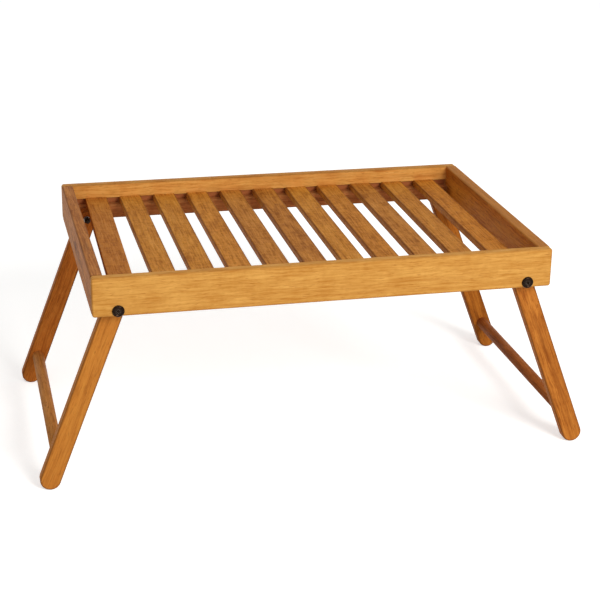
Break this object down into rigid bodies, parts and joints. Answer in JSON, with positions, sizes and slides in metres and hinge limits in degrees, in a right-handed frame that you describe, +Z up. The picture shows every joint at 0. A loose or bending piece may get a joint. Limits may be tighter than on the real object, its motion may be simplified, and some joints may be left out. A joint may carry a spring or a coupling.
{
  "type": "bed_tray_table",
  "caption": "Wooden bed tray table with a slatted tray in a raised frame and two pairs of splayed legs that fold flat under the tray.",
  "frame": {"origin": "On the ground under the middle of the tray, with both leg pairs opened out.", "axes": "+X to the right along the tray's long side, +Y from the front rail to the rear rail, +Z up."},
  "size_m": [0.7192, 0.4012, 0.2847],
  "materials": {
    "frame_wood": "satin",
    "ledger_wood": "satin",
    "slat_wood": "satin",
    "leg_wood": "satin",
    "crossbar_wood": "satin",
    "dowel_wood": "matte",
    "black_steel": "satin",
    "zinc_steel": "satin"
  },
  "bodies": {
    "tray": {"front_rail": "frame_wood", "rear_rail": "frame_wood", "left_end_board": "frame_wood", "right_end_board": "frame_wood", "front_ledger": "ledger_wood", "rear_ledger": "ledger_wood", "slat_01": "slat_wood", "slat_02": "slat_wood", "slat_03": "slat_wood", "slat_04": "slat_wood", "slat_05": "slat_wood", "slat_06": "slat_wood", "slat_07": "slat_wood", "slat_08": "slat_wood", "slat_09": "slat_wood", "slat_10": "slat_wood", "slat_11": "slat_wood", "pivot_bolts": "black_steel", "pivot_nuts": "black_steel", "pivot_washers": "zinc_steel", "corner_dowels": "dowel_wood", "ledger_screws": "zinc_steel", "slat_brads": "zinc_steel"},
    "left_legs": {"front_left_leg": "leg_wood", "rear_left_leg": "leg_wood", "left_crossbar": "crossbar_wood"},
    "right_legs": {"front_right_leg": "leg_wood", "rear_right_leg": "leg_wood", "right_crossbar": "crossbar_wood"}
  },
  "joints": [
    {"name": "left_leg_fold", "type": "hinge", "parent": "tray", "child": "left_legs", "pos_m": [-0.2588, 0, 0.24173], "axis": [0, -1, 0], "range_deg": [0, 110.99]},
    {"name": "right_leg_fold", "type": "hinge", "parent": "tray", "child": "right_legs", "pos_m": [0.2588, 0, 0.24173], "axis": [0, 1, 0], "range_deg": [0, 110.99]}
  ]
}
